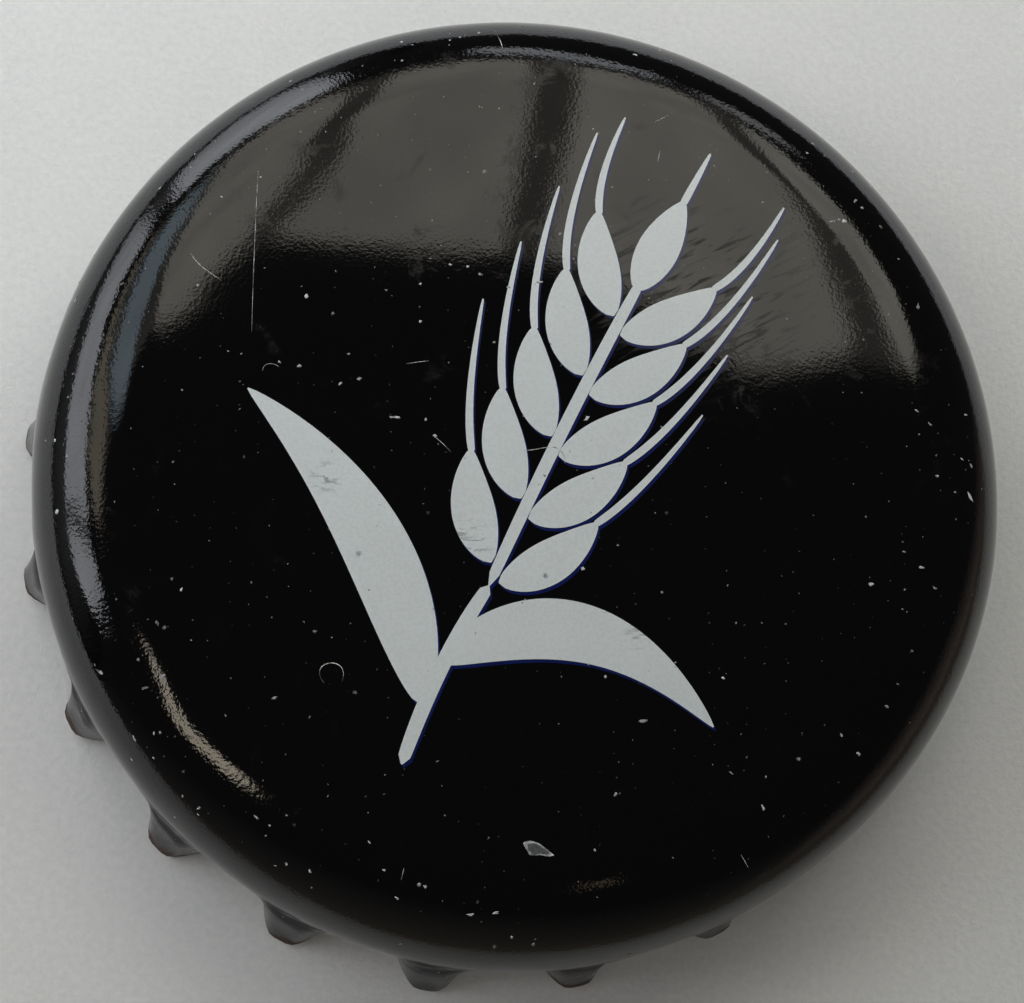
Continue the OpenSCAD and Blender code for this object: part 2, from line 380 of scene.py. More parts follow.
# ---------------------------------------------------------------- sealing liner
# Off-white sealing compound, moulded hot on to the inside of the panel: a thin disc, with a flat
# land between two round beads. The mouth of the bottle has pressed a faint grey ring into the land.

mouth_r = 10.75 * MM
compound, tree, shader, place = new_material(
    "moulded_sealing_compound", IOR=1.48, Subsurface_Weight=0.15, Subsurface_Scale=1.0,
    Subsurface_Radius=(0.4 * MM, 0.4 * MM, 0.3 * MM))
flat = add_node(tree, "ShaderNodeVectorMath", {"operation": "MULTIPLY"}, _0=place, _1=(1, 1, 0))
out_m = add_node(tree, "ShaderNodeVectorMath", {"operation": "LENGTH"}, _0=flat)
past_ring = add_node(tree, "ShaderNodeMath", {"operation": "SUBTRACT"}, _0=out_m, _1=mouth_r)
off_ring = add_node(tree, "ShaderNodeMath", {"operation": "ABSOLUTE"}, _0=past_ring)
pressed = add_node(tree, "ShaderNodeMapRange", Value=off_ring, _1=0.45 * MM, _2=0.30 * MM, _4=0.5)
cloud = add_node(tree, "ShaderNodeTexNoise", Vector=place, Scale=1 / (2.2 * MM), Detail=4.0)
body_tone = add_node(tree, "ShaderNodeMix", {"data_type": "RGBA"}, _0=cloud, _6=linear("#e2dfd3"),
                     _7=linear("#d3cfc0"))
pressed_tone = add_node(tree, "ShaderNodeMix", {"data_type": "RGBA"}, _0=pressed, _6=body_tone,
                        _7=linear("#b5b1a3"))
skin_grain = add_node(tree, "ShaderNodeTexNoise", Vector=place, Scale=1 / (0.25 * MM), Detail=3.0)
sheen = add_node(tree, "ShaderNodeMapRange", Value=skin_grain, _1=0.3, _2=0.7, _3=0.36, _4=0.52)
moulded = add_node(tree, "ShaderNodeBump", Strength=0.4, Distance=0.004 * MM, Height=skin_grain)
feed(shader, Base_Color=pressed_tone, Roughness=sheen, Normal=moulded)
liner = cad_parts["seal_liner"]
liner.data.materials.clear()
liner.data.materials.append(compound)


# ---------------------------------------------------------------- printed ear of grain
# An ear of barley with its stem and two leaves, printed on the flat sheet before it was pressed: a blue
# pass first and a white one over it, a tenth of a millimetre out of register.


def cap_height(r):
    """Height of the outer skin at a distance from the axis: the centre of the arc that lies there
    plus the square root of its radius squared less the distance from that centre squared."""
    k = np.searchsorted(arc_c[1:, 0] + arc_r[1:] * np.sin(arc_ends[1:3]), r)
    return arc_c[k, 1] + np.sqrt(np.clip(arc_r[k] ** 2 - (r - arc_c[k, 0]) ** 2, 0, None))


def quadratic(a, b, c, t):
    """Curve from a to c that starts towards b: the three points weighted by the squares and the
    product of t and 1 - t."""
    a, b, c, t = np.array(a), np.array(b), np.array(c), np.asarray(t)[..., None]
    return a * (1 - t) ** 2 + 2 * b * t * (1 - t) + c * t ** 2


def right_of(line):
    """Unit vectors to the right of a curve in plan: its direction turned clockwise by a quarter."""
    way = unit(np.gradient(line, axis=0))
    return np.stack([way[:, 1], -way[:, 0]], -1)


def blade(a, b, c, width, blunt=0.5, lean=0.5, layer=1.0, steps=28):
    """A pointed patch of ink: a curve from a through towards b to c, as wide at each share of its
    length as the width times sin(pi t^lean)^blunt, six points round. The third number of a point is
    its height in films of ink: the top is flat, and the rim is sunk in the sheet."""
    t = np.linspace(0, 1, steps)
    line = quadratic(a, b, c, t)
    half = width / 2 * np.maximum(np.sin(pi * t ** lean), 0) ** blunt + tip_half
    across = np.array([1, 1, 0, -1, -1, 0])
    flat = line[:, None] + right_of(line)[:, None] * (half[:, None] * across)[..., None]
    films = np.tile(np.array([-2, layer, layer, layer, -2, -3]), (steps, 1))
    return np.concatenate([flat, films[..., None]], -1)


def turned(direction, angle):
    """A direction in the plane, turned anticlockwise."""
    return np.array([direction[0] * cos(angle) - direction[1] * sin(angle),
                     direction[0] * sin(angle) + direction[1] * cos(angle)])


def join(parts):
    """Points and faces of several tubes as one mesh. A tube is rows of points round it, and its first
    and last rows are each closed by one flat face."""
    faces, first = [], 0
    for part in parts:
        rows, around = part.shape[:2]
        last = first + rows * around
        faces += (ring_faces(rows, around) + first).tolist()
        faces += [list(range(first, first + around)), list(range(last - 1, last - around - 1, -1))]
        first = last
    return np.concatenate([part.reshape(-1, 3) for part in parts]), faces


ink_t = 0.008
register = np.array([0.05, -0.09])
print_r = 10.1
tip_half = 0.02
kernel_pairs, kernel_l, kernel_w, kernel_turn = 5, 3.1, 1.12, radians(34)
kernel_stagger, kernel_off = 0.4, 0.2
awn_l_most, awn_w, awn_turn = 4.2, 0.17, radians(20)
ear_curve = ([-1.3, -3.7], [0.6, 0.6], [2.9, 4.9])

blades = [blade([-3.5, -8.3], [-2.6, -5.6], ear_curve[0], 0.36, blunt=0.12, lean=1.0, layer=0.8),
          blade(*ear_curve, 0.30, blunt=0.12, lean=1.0, layer=0.8),
          blade([-3.0, -6.8], [-3.6, -2.0], [-7.7, 1.5], 1.75, blunt=0.8, lean=0.75, layer=1.2, steps=48),
          blade([-2.6, -5.7], [1.3, -3.3], [4.6, -7.3], 1.55, blunt=0.8, lean=0.75, layer=1.2, steps=48)]
for t in np.append((np.arange(kernel_pairs) + 0.1) / kernel_pairs, 0.96):
    root = quadratic(*ear_curve, t)
    way = unit(quadratic(*ear_curve, t + 0.01) - root)
    for hand in ((1, -1) if t < 0.9 else (0,)):
        start = root + way * (kernel_stagger if hand > 0 else 0.0)
        start = start + turned(way, hand * pi / 2) * kernel_off * abs(hand)
        out = turned(way, hand * kernel_turn)
        tip = start + out * kernel_l
        bulge = start + turned(out, hand * 0.3) * kernel_l * 0.5
        blades.append(blade(start, bulge, tip, kernel_w, blunt=0.75, lean=0.85, layer=1 + 0.2 * hand))
        awn_way = turned(way, hand * awn_turn * (1 - 0.5 * t))
        along = tip @ awn_way
        awn_l = min(awn_l_most, -along + np.sqrt(along ** 2 + print_r ** 2 - tip @ tip))
        awn_line = (tip - out * 0.15, tip + out * awn_l * 0.3, tip + awn_way * awn_l)
        blades.append(blade(*awn_line, awn_w, lean=0.45))
ear, faces = join(blades)
inks = {}
for name, shift, film in (("printed_ear_blue_pass", register, 0.5), ("printed_ear_white_pass", 0, 1.0)):
    points = ear.copy()
    points[:, :2] += shift
    points[:, 2] = cap_height(np.hypot(points[:, 0], points[:, 1])) + ear[:, 2] * ink_t * film
    inks[name] = add_mesh(name, points, faces)
    inks[name].data.set_sharp_from_angle(angle=radians(40))

# White tin-printing ink, a little glossy: it dries with a fine grain, and carries grey rubs and specks.
ink, tree, shader, place = new_material("white_tin_printing_ink")
inks["printed_ear_white_pass"].data.materials.append(ink)
cloud = add_node(tree, "ShaderNodeTexNoise", Vector=place, Scale=1 / (1.6 * MM), Detail=5.0)
ink_tone = add_node(tree, "ShaderNodeMix", {"data_type": "RGBA"}, _0=cloud, _6=linear("#e0e6e8"),
                    _7=linear("#d6dcdd"))
ragged = add_node(tree, "ShaderNodeTexNoise", Vector=place, Scale=1 / (0.07 * MM), Detail=2.0)
shaken = add_node(tree, "ShaderNodeVectorMath", {"operation": "MULTIPLY_ADD"}, _0=ragged.outputs["Color"],
                  _1=(0.12 * MM,) * 3, _2=place)
for cell_mm, speck_mm, share, colour in ((0.7, 0.030, 0.35, "#7d8180"), (2.6, 0.11, 0.45, "#5f6d7c")):
    cells = add_node(tree, "ShaderNodeTexVoronoi", {"voronoi_dimensions": "2D"}, Vector=shaken,
                     Scale=1 / (cell_mm * MM))
    draw = add_node(tree, "ShaderNodeSeparateColor", Color=cells.outputs["Color"]).outputs
    reach_of = add_node(tree, "ShaderNodeMapRange", Value=draw[1], _3=0.3 * speck_mm / cell_mm,
                        _4=speck_mm / cell_mm)
    inside = add_node(tree, "ShaderNodeMapRange", Value=cells, _1=reach_of, _2=0.0)
    there = add_node(tree, "ShaderNodeMath", {"operation": "LESS_THAN"}, _0=draw[0], _1=share)
    mark = add_node(tree, "ShaderNodeMath", {"operation": "MULTIPLY"}, _0=inside, _1=there)
    ink_tone = add_node(tree, "ShaderNodeMix", {"data_type": "RGBA"}, _0=mark, _6=ink_tone,
                        _7=linear(colour))

# The rubs: short grey streaks round three spots.
rub_way = add_node(tree, "ShaderNodeMapping", Vector=shaken, Rotation=(0, 0, radians(35)),
                   Scale=(1 / (0.5 * MM), 1 / (0.12 * MM), 0))
rub_grain = add_node(tree, "ShaderNodeTexNoise", Vector=rub_way, Scale=1.0, Detail=2.0, Distortion=1.0)
rubbed = add_node(tree, "ShaderNodeMapRange", Value=rub_grain, _1=0.52, _2=0.62, _4=0.8)
near_rub = None
for x, y, z, rub_r in ((-1.9, -2.6, 5.97, 0.8), (-5.6, -0.9, 5.9, 0.5), (2.6, -5.0, 5.9, 0.4)):
    from_rub = add_node(tree, "ShaderNodeVectorMath", {"operation": "DISTANCE"}, _0=place,
                        _1=(x * MM, y * MM, z * MM))
    in_rub = add_node(tree, "ShaderNodeMapRange", Value=from_rub, _1=rub_r * MM, _2=0.4 * rub_r * MM)
    near_rub = in_rub if near_rub is None else add_node(
        tree, "ShaderNodeMath", {"operation": "MAXIMUM"}, _0=near_rub, _1=in_rub)
rub = add_node(tree, "ShaderNodeMath", {"operation": "MULTIPLY"}, _0=near_rub, _1=rubbed)
rub_tone = add_node(tree, "ShaderNodeMix", {"data_type": "RGBA"}, _0=rub, _6=ink_tone,
                    _7=linear("#8b9092"))

# The grain of the dried ink, in its gloss and its relief.
dried = add_node(tree, "ShaderNodeTexNoise", Vector=place, Scale=1 / (0.09 * MM), Detail=2.0)
ink_dull = add_node(tree, "ShaderNodeMapRange", Value=dried, _1=0.3, _2=0.7, _3=0.22, _4=0.34)
dried_up = add_node(tree, "ShaderNodeBump", Strength=0.5, Distance=0.0012 * MM, Height=dried)
feed(shader, Base_Color=rub_tone, Roughness=ink_dull, Normal=dried_up)

# Blue ink of the first pass, which shows only where the white one misses it: deep, glossy and uneven.
blue_ink, tree, shader, place = new_material("blue_tin_printing_ink", Roughness=0.2)
inks["printed_ear_blue_pass"].data.materials.append(blue_ink)
uneven = add_node(tree, "ShaderNodeTexNoise", Vector=place, Scale=1 / (0.5 * MM), Detail=4.0)
blue_tone = add_node(tree, "ShaderNodeMix", {"data_type": "RGBA"}, _0=uneven, _6=linear("#0c1f66"),
                     _7=linear("#06103c"))
feed(shader, Base_Color=blue_tone)


# ---------------------------------------------------------------- nicks
# Flecks where knocks against other caps have burst the lacquer, most of them on the shoulder: each is
# a low raised flake, pale where the film has split and the tin shows.

# Bearing in degrees, station down the section, length and width in millimetres, and the turn of the
# length from +X in degrees.
nicks = [
    (207.9, 2.33, 0.32, 0.13, -30), (199.7, 2.03, 0.08, 0.05, 0), (212.5, 2.03, 0.26, 0.08, 15),
    (212.5, 1.64, 0.24, 0.1, 30), (205.9, 1.2, 0.21, 0.08, -50), (224.5, 0.89, 0.23, 0.08, 15),
    (216.5, 2.37, 0.24, 0.08, -70), (217.6, 2.18, 0.11, 0.08, 90), (218, 2.13, 0.11, 0.08, 90),
    (219.7, 2.33, 0.11, 0.08, -60), (225.2, 2.36, 0.11, 0.08, 90), (227.5, 2.33, 0.16, 0.08, 45),
    (233.5, 2.05, 0.21, 0.08, -50), (235.4, 2.04, 0.1, 0.08, -40), (239.5, 2.24, 0.13, 0.08, -80),
    (242.3, 2.19, 0.13, 0.08, -60), (209, 1.9, 0.13, 0.11, -20), (247.3, 1.38, 0.13, 0.08, -50),
    (217.8, 0.72, 0.1, 0.05, -30), (221.1, 0.55, 0.1, 0.08, 30), (203.8, 2.16, 0.08, 0.05, 0),
    (202.9, 0.94, 0.13, 0.08, 60), (255.1, 1.88, 0.18, 0.1, -60), (255.9, 1.89, 0.16, 0.1, -60),
    (250.4, 1.81, 0.13, 0.08, -20), (253, 2.11, 0.16, 0.08, -30), (262, 2.11, 0.26, 0.1, 5),
    (265, 2.07, 0.21, 0.1, 10), (267.2, 2.28, 0.13, 0.08, -80), (269.8, 2.36, 0.13, 0.11, -80),
    (286.2, 0.59, 0.13, 0.1, 30), (290.7, 0.72, 0.29, 0.13, 15), (282.5, 0.87, 0.18, 0.1, 60),
    (278, 0.99, 0.1, 0.08, -50), (282.9, 0.55, 0.08, 0.08, 0), (301.4, 0.63, 0.08, 0.08, 0),
    (307, 0.73, 0.11, 0.08, 0), (299.8, 0.93, 0.21, 0.05, -38), (301, 1.38, 0.19, 0.11, -65),
    (320.4, 1.76, 0.16, 0.08, -30), (314.1, 1.32, 0.14, 0.08, -60), (314, 1.91, 0.16, 0.11, -20),
    (323.5, 1.7, 0.14, 0.06, -30), (252.5, 0.81, 0.1, 0.05, 20), (76.1, 2.16, 0.18, 0.09, -15),
    (49.4, 2.22, 0.15, 0.12, -20), (47.3, 2.2, 0.18, 0.09, 70), (49.1, 2.06, 0.09, 0.09, 0),
    (39.8, 2.05, 0.18, 0.12, 35), (38.5, 2.06, 0.15, 0.12, -30), (39.4, 1.21, 0.2, 0.09, 10),
    (39.1, 1.37, 0.23, 0.12, 30), (38.4, 1.48, 0.21, 0.12, -10), (34.9, 2.1, 0.15, 0.12, -60),
    (22.6, 1.95, 0.23, 0.12, 85), (29.9, 2.05, 0.12, 0.06, -10), (43.2, 2.37, 0.12, 0.06, 0),
    (3.7, 1.31, 0.2, 0.09, -35), (6.1, 1.04, 0.17, 0.06, -40), (5.1, 2.13, 0.15, 0.06, -10),
    (357.9, 2.02, 0.14, 0.06, -35), (357, 2.12, 0.17, 0.09, -60), (354.7, 1.37, 0.14, 0.09, -20),
    (352.1, 2.1, 0.34, 0.11, -48), (339.4, 1.22, 0.2, 0.11, -20), (337.2, 1.65, 0.2, 0.08, -30),
    (334.2, 0.91, 0.17, 0.17, 0), (341, 0.97, 0.11, 0.06, -20), (99.8, 2.21, 0.12, 0.09, 20),
    (101.2, 2.18, 0.09, 0.09, 0), (107.3, 2.3, 0.09, 0.09, 0), (108.4, 2.03, 0.09, 0.09, 0),
    (91.4, 2.4, 0.15, 0.09, 0), (161.1, 2.57, 0.26, 0.09, 65), (141.1, 1.33, 0.11, 0.06, -20),
    (161.5, 0.63, 0.16, 0.11, -20), (168, 0.76, 0.08, 0.08, 0), (163.1, 0.81, 0.08, 0.05, 0),
    (188.1, 2.31, 0.16, 0.14, 60), (179.3, 2.33, 0.11, 0.08, 80), (177.1, 2.07, 0.11, 0.05, 80),
    (33.7, 0.15, 0.27, 0.11, 45), (174.1, 0.26, 0.16, 0.11, -30), (168.3, 0.36, 0.24, 0.08, 0),
    (283.3, 0.07, 0.16, 0.08, -40), (159.3, 0.48, 0.27, 0.11, 10), (162.5, 0.52, 0.16, 0.08, 40),
    (162, 0.68, 0.13, 0.08, -20), (89.4, 0.44, 0.22, 0.11, 10), (114.9, 0.53, 0.11, 0.08, 0),
    (110.5, 0.51, 0.11, 0.08, 0), (107.6, 0.48, 0.14, 0.08, -10), (99.6, 0.43, 0.16, 0.11, 0),
    (146.6, 0.7, 0.16, 0.16, 0), (133.4, 0.56, 0.11, 0.08, 0), (125.1, 0.52, 0.11, 0.08, 0),
    (132.4, 0.44, 0.11, 0.08, 0), (146.6, 0.62, 0.11, 0.08, 0), (153.8, 0.53, 0.11, 0.08, 0),
    (168.6, 0.37, 0.24, 0.08, 0), (166.4, 0.29, 0.11, 0.08, 60), (352.4, 0.08, 0.13, 0.08, -50),
    (304.9, 0.24, 0.11, 0.08, 0), (290, 0.32, 0.16, 0.13, 0), (291.8, 0.44, 0.13, 0.08, 0),
    (264.1, 0.39, 0.1, 0.08, 0)]

# Smaller ones are strewn over the shoulder and the teeth.
loose_count = 70
rng = np.random.default_rng(21)
loose = np.stack([
    rng.uniform(0, 360, loose_count), rng.uniform(2.3, 3.75, loose_count),
    rng.uniform(0.06, 0.18, loose_count), rng.uniform(0.03, 0.06, loose_count),
    rng.uniform(-90, 90, loose_count)], -1)
bearing, station, long, wide, turn = np.concatenate([np.array(nicks), loose]).T

# A flake is nine ragged corners on an ellipse, in three rings from its raised middle to under the skin.
at = (np.radians(bearing) - first_tooth) * tooth_count / (2 * pi)
middle = skin(at, station)
out = outward(at, station)[0]
lie = np.stack([np.cos(np.radians(turn)), np.sin(np.radians(turn)), np.zeros(len(turn))], -1)
lie = unit(lie - out * (lie * out).sum(-1, keepdims=True))
across = np.cross(out, lie)
corners, drawn_share = 9, 0.95
corner = np.linspace(0, 2 * pi, corners, endpoint=False)
ragged_r = rng.uniform(0.4, 1.15, (len(turn), corners, 1)) * drawn_share / 2
rim = ragged_r * (lie[:, None] * (long[:, None] * np.cos(corner))[..., None]
                  + across[:, None] * (wide[:, None] * np.sin(corner))[..., None])
flakes = np.stack([middle[:, None] + rim * share + out[:, None] * lift
                   for share, lift in ((0.7, 0.010), (1.0, 0.004), (0.9, -0.03))], 1)
knocks = add_mesh("lacquer_nicks", *join(flakes))

# Split lacquer over tin: whitish and rough, each fleck of its own paleness.
split, tree, shader, place = new_material("split_lacquer_over_tin", Roughness=0.55)
knocks.data.materials.append(split)
fleck = add_node(tree, "ShaderNodeTexNoise", Vector=place, Scale=1 / (0.25 * MM), Detail=3.0)
paler = add_node(tree, "ShaderNodeMapRange", Value=fleck, _1=0.35, _2=0.62)
split_tone = add_node(tree, "ShaderNodeMix", {"data_type": "RGBA"}, _0=paler, _6=linear("#5f5d5c"),
                      _7=linear("#dcdfe2"))
feed(shader, Base_Color=split_tone)


# ---------------------------------------------------------------- chip
# One larger chip near the front of the panel, where the film has come off down to the tin: a thin pale
# lip of torn film stands round a patch of dull grey metal.


def plate(outline, share, lift, sunk=-0.03):
    """A plate on the panel from its outline in plan: the outline shrunk to a share about its middle,
    once at a lift above the skin and once sunk below it."""
    outline = np.array(outline)
    middle = outline.mean(0)
    plan = middle + (outline - middle) * share
    z = cap_height(np.hypot(plan[:, 0], plan[:, 1]))
    return np.stack([np.column_stack([plan, z + up]) for up in (lift, sunk)])


chip = [(0.42, -10.56), (0.30, -10.47), (0.24, -10.42), (0.12, -10.33), (0.02, -10.26), (-0.10, -10.22),
        (-0.21, -10.20), (-0.31, -10.21), (-0.39, -10.25), (-0.35, -10.34), (-0.29, -10.43), (-0.22, -10.55),
        (-0.10, -10.57), (0.05, -10.55), (0.18, -10.58), (0.30, -10.59)]
lip = add_mesh("chip_lip", *join([plate(chip, 1.0, 0.008)]))
metal = add_mesh("chip_tin", *join([plate(chip, 0.72, 0.012)]))
for piece in (lip, metal):
    piece.data.set_sharp_from_angle(angle=radians(40))
lip.data.materials.append(split)

# Tin that has dulled in the air: grey, half rough, with darker spots.
dulled, tree, shader, place = new_material("weathered_tin", Metallic=0.7, Roughness=0.5)
metal.data.materials.append(dulled)
spotted = add_node(tree, "ShaderNodeTexNoise", Vector=place, Scale=1 / (0.12 * MM), Detail=3.0)
dulled_tone = add_node(tree, "ShaderNodeMix", {"data_type": "RGBA"}, _0=spotted, _6=linear("#484b4e"),
                       _7=linear("#9aa0a4"))
feed(shader, Base_Color=dulled_tone)


# ---------------------------------------------------------------- lint and scratches
# A few curled fibres of lint that cling to the panel, and hairline scratches whose burred sides catch
# the light. Each is a thin closed thread along a smooth path in plan, laid on the skin.


def thread(path, half, flatness=1.0, steps=40):
    """A thread: a cubic in the share of the way that runs close by the path's points, six points round
    a circle of the half width, flattened by a factor in height, and thin towards both ends."""
    path = np.array(path)
    along = np.append(0, np.cumsum(np.linalg.norm(np.diff(path, axis=0), axis=1)))
    degree = min(3, len(path) - 1)
    t = np.linspace(0, 1, steps)
    line = np.stack([np.polyval(np.polyfit(along / along[-1], xs, degree), t) for xs in path.T], -1)
    r = half * (0.25 + 0.75 * np.sin(pi * t) ** 0.5)
    a = np.arange(6) * pi / 3
    flat = line[:, None] + right_of(line)[:, None] * (r[:, None] * np.cos(a))[..., None]
    rise = r[:, None] * flatness * (np.sin(a) + 0.6)
    z = cap_height(np.hypot(flat[..., 0], flat[..., 1])) + rise
    return np.concatenate([flat, z[..., None]], -1)


fibres = [
    [(-5.50, -6.25), (-5.62, -5.95), (-5.37, -5.70), (-5.12, -5.85), (-5.05, -6.22)],
    [(-0.49, -0.02), (0.11, 0.00), (0.37, 0.10), (0.59, -0.04), (0.72, -0.37)],
    [(-1.11, 12.60), (-1.03, 12.32), (-0.94, 12.00), (-0.92, 11.70)],
    [(-9.36, 5.30), (-9.20, 4.98), (-8.96, 4.90), (-8.75, 4.62), (-8.49, 4.50)]]
scratches = [
    [(-7.64, 7.72), (-7.66, 5.4), (-7.65, 3.06)],
    [(-7.32, 1.98), (-7.25, 2.15), (-7.02, 2.17), (-6.9, 2.1)],
    [(-2.78, 0.29), (-2.56, 0.10), (-2.32, -0.14)],
    [(-3.52, 2.26), (-3.22, 2.32), (-2.93, 2.36)],
    [(3.39, 9.69), (3.68, 9.85), (3.90, 10.00)],
    [(3.42, 8.39), (3.51, 8.79)],
    [(5.31, -10.55), (5.53, -10.88)],
    [(-3.39, -10.87), (-3.46, -11.17)]]
lint = add_mesh("lint_fibres", *join([thread(path, 0.011) for path in fibres]))
burrs = [thread(path, 0.008, flatness=0.5) for path in scratches]
hairlines = add_mesh("hairline_scratches", *join(burrs))
hairlines.data.materials.append(split)

# Cotton lint: soft and off-white, with painted shade and painted highlights along its length where it
# twists.
cotton, tree, shader, place = new_material("cotton_lint", Roughness=0.9, Sheen_Weight=0.3)
lint.data.materials.append(cotton)
twist = add_node(tree, "ShaderNodeTexNoise", Vector=place, Scale=1 / (0.25 * MM), Detail=2.0)
painted_twist_shade = add_node(tree, "ShaderNodeMapRange", Value=twist, _1=0.38, _2=0.58)
# The dark stretches along the fibre are painted shade, the off-white ones its own colour and painted
# highlight.
lint_tone_and_painted_shade = add_node(tree, "ShaderNodeMix", {"data_type": "RGBA"}, _0=painted_twist_shade, _6=linear("#efede7"),
                       _7=linear("#57534e"))
feed(shader, Base_Color=lint_tone_and_painted_shade)


# ---------------------------------------------------------------- floor
# A sheet of pale matt drawing paper. To the eye it fades far off into a pale glow, and so meets the
# pale room without an edge. In reflections it fades sooner into a glow of painted light behind and to the
# left and painted shade in front and to the right.

floor_half = 600.0
mesh = bpy.data.meshes.new("paper_floor")
corners = np.array([[-1, -1, 0], [1, -1, 0], [1, 1, 0], [-1, 1, 0]]) * floor_half * MM
mesh.from_pydata(corners.tolist(), [], [[0, 1, 2, 3]])
floor = bpy.data.objects.new("paper_floor", mesh)
bpy.context.scene.collection.objects.link(floor)

# Drawing paper: rough and chalky, with soft clouds in its pulp and a faint felt of fibres.
room_grey = linear("#cccccc")
paper, tree, shader, place = new_material("matt_drawing_paper", Roughness=0.9)
mesh.materials.append(paper)
pulp = add_node(tree, "ShaderNodeTexNoise", Vector=place, Scale=1 / (5.0 * MM), Detail=3.0)
felt = add_node(tree, "ShaderNodeTexNoise", Vector=place, Scale=1 / (0.2 * MM), Detail=4.0,
                Roughness=0.65)
mottle = add_node(tree, "ShaderNodeMath", {"operation": "MULTIPLY_ADD"}, _0=pulp, _1=0.35, _2=felt)
cleaner = add_node(tree, "ShaderNodeMapRange", Value=mottle, _1=0.475, _2=0.875)
paper_tone = add_node(tree, "ShaderNodeMix", {"data_type": "RGBA"}, _0=cleaner, _6=linear("#edeeee"),
                      _7=linear("#f8f8f6"))
felt_up = add_node(tree, "ShaderNodeBump", Strength=1.0, Distance=0.028 * MM, Height=felt)
feed(shader, Base_Color=paper_tone, Normal=felt_up)

# How the sheet fades with the distance from the cap, for the eye and in reflections.
away = add_node(tree, "ShaderNodeVectorMath", {"operation": "LENGTH"}, _0=place)
far = add_node(tree, "ShaderNodeMapRange", {"interpolation_type": "SMOOTHSTEP"}, Value=away, _1=25 * MM,
               _2=55 * MM)
beyond = add_node(tree, "ShaderNodeMapRange", {"interpolation_type": "SMOOTHSTEP"}, Value=away,
                  _1=19 * MM, _2=44 * MM)
# In reflections the far sheet glows: painted light behind and to the left, painted shade in front and to the
# right.
off_left = add_node(tree, "ShaderNodeVectorMath", {"operation": "DOT_PRODUCT"}, _0=place,
                    _1=(-0.5, 1.0, 0.0))
lit_side = add_node(tree, "ShaderNodeMapRange", Value=off_left, _1=-32 * MM, _2=12 * MM)
painted_far_light_and_shade = add_node(tree, "ShaderNodeMix", {"data_type": "RGBA"}, _0=lit_side, _6=linear("#756d62"),
               _7=linear("#e2e4e8"))
eye = add_node(tree, "ShaderNodeLightPath").outputs["Is Camera Ray"]
faded = add_node(tree, "ShaderNodeMix", _0=eye, _2=beyond, _3=far)
distance = add_node(tree, "ShaderNodeMix", {"data_type": "RGBA"}, _0=eye, _6=painted_far_light_and_shade, _7=room_grey)
# The glow: pale for the eye, and for other rays the painted light and shade above.
far_floor_glow = add_node(tree, "ShaderNodeEmission", Color=distance)
blend = add_node(tree, "ShaderNodeMixShader", _0=faded, _1=shader, _2=far_floor_glow)
ending = next(n for n in tree.nodes if n.bl_idname == "ShaderNodeOutputMaterial")
feed(ending, Surface=blend)


# ---------------------------------------------------------------- windows and room
# What stands round the cap and is mirrored in its lacquer: tall windows on the left, a glass roof with
# rafters behind, a slit between curtains, a small brown gleam in front, and a dim room. The lights are
# glowing patches on a dome, each outlined by bearings and angles from overhead, in degrees.

room_r = 100.0
cool, warm, cream = linear("#f2f6fc")[:3], linear("#fffbee")[:3], linear("#fff2dc")[:3]
blue, brown, plain = linear("#cfe2ee")[:3], linear("#ffe2c8")[:3], (1.0, 1.0, 1.0)


def rounded(outline, cut=0.12, rounds=2):
    """A closed outline with its corners cut: each side loses a share at both its ends, and the whole
    is done again."""
    points = np.array(outline, float)
    for _ in range(rounds):
        ahead = np.roll(points, -1, axis=0)
        ends = np.stack([points + (ahead - points) * cut, ahead + (points - ahead) * cut], 1)
        points = ends.reshape(-1, 2)
    return points


def on_dome(points, r):
    """Points of the room's dome, in metres, from bearings and angles from overhead, in degrees."""
    bearing, down = np.radians(points).T
    out = np.stack([np.sin(down) * np.cos(bearing), np.sin(down) * np.sin(bearing), np.cos(down)], -1)
    return out * r * MM


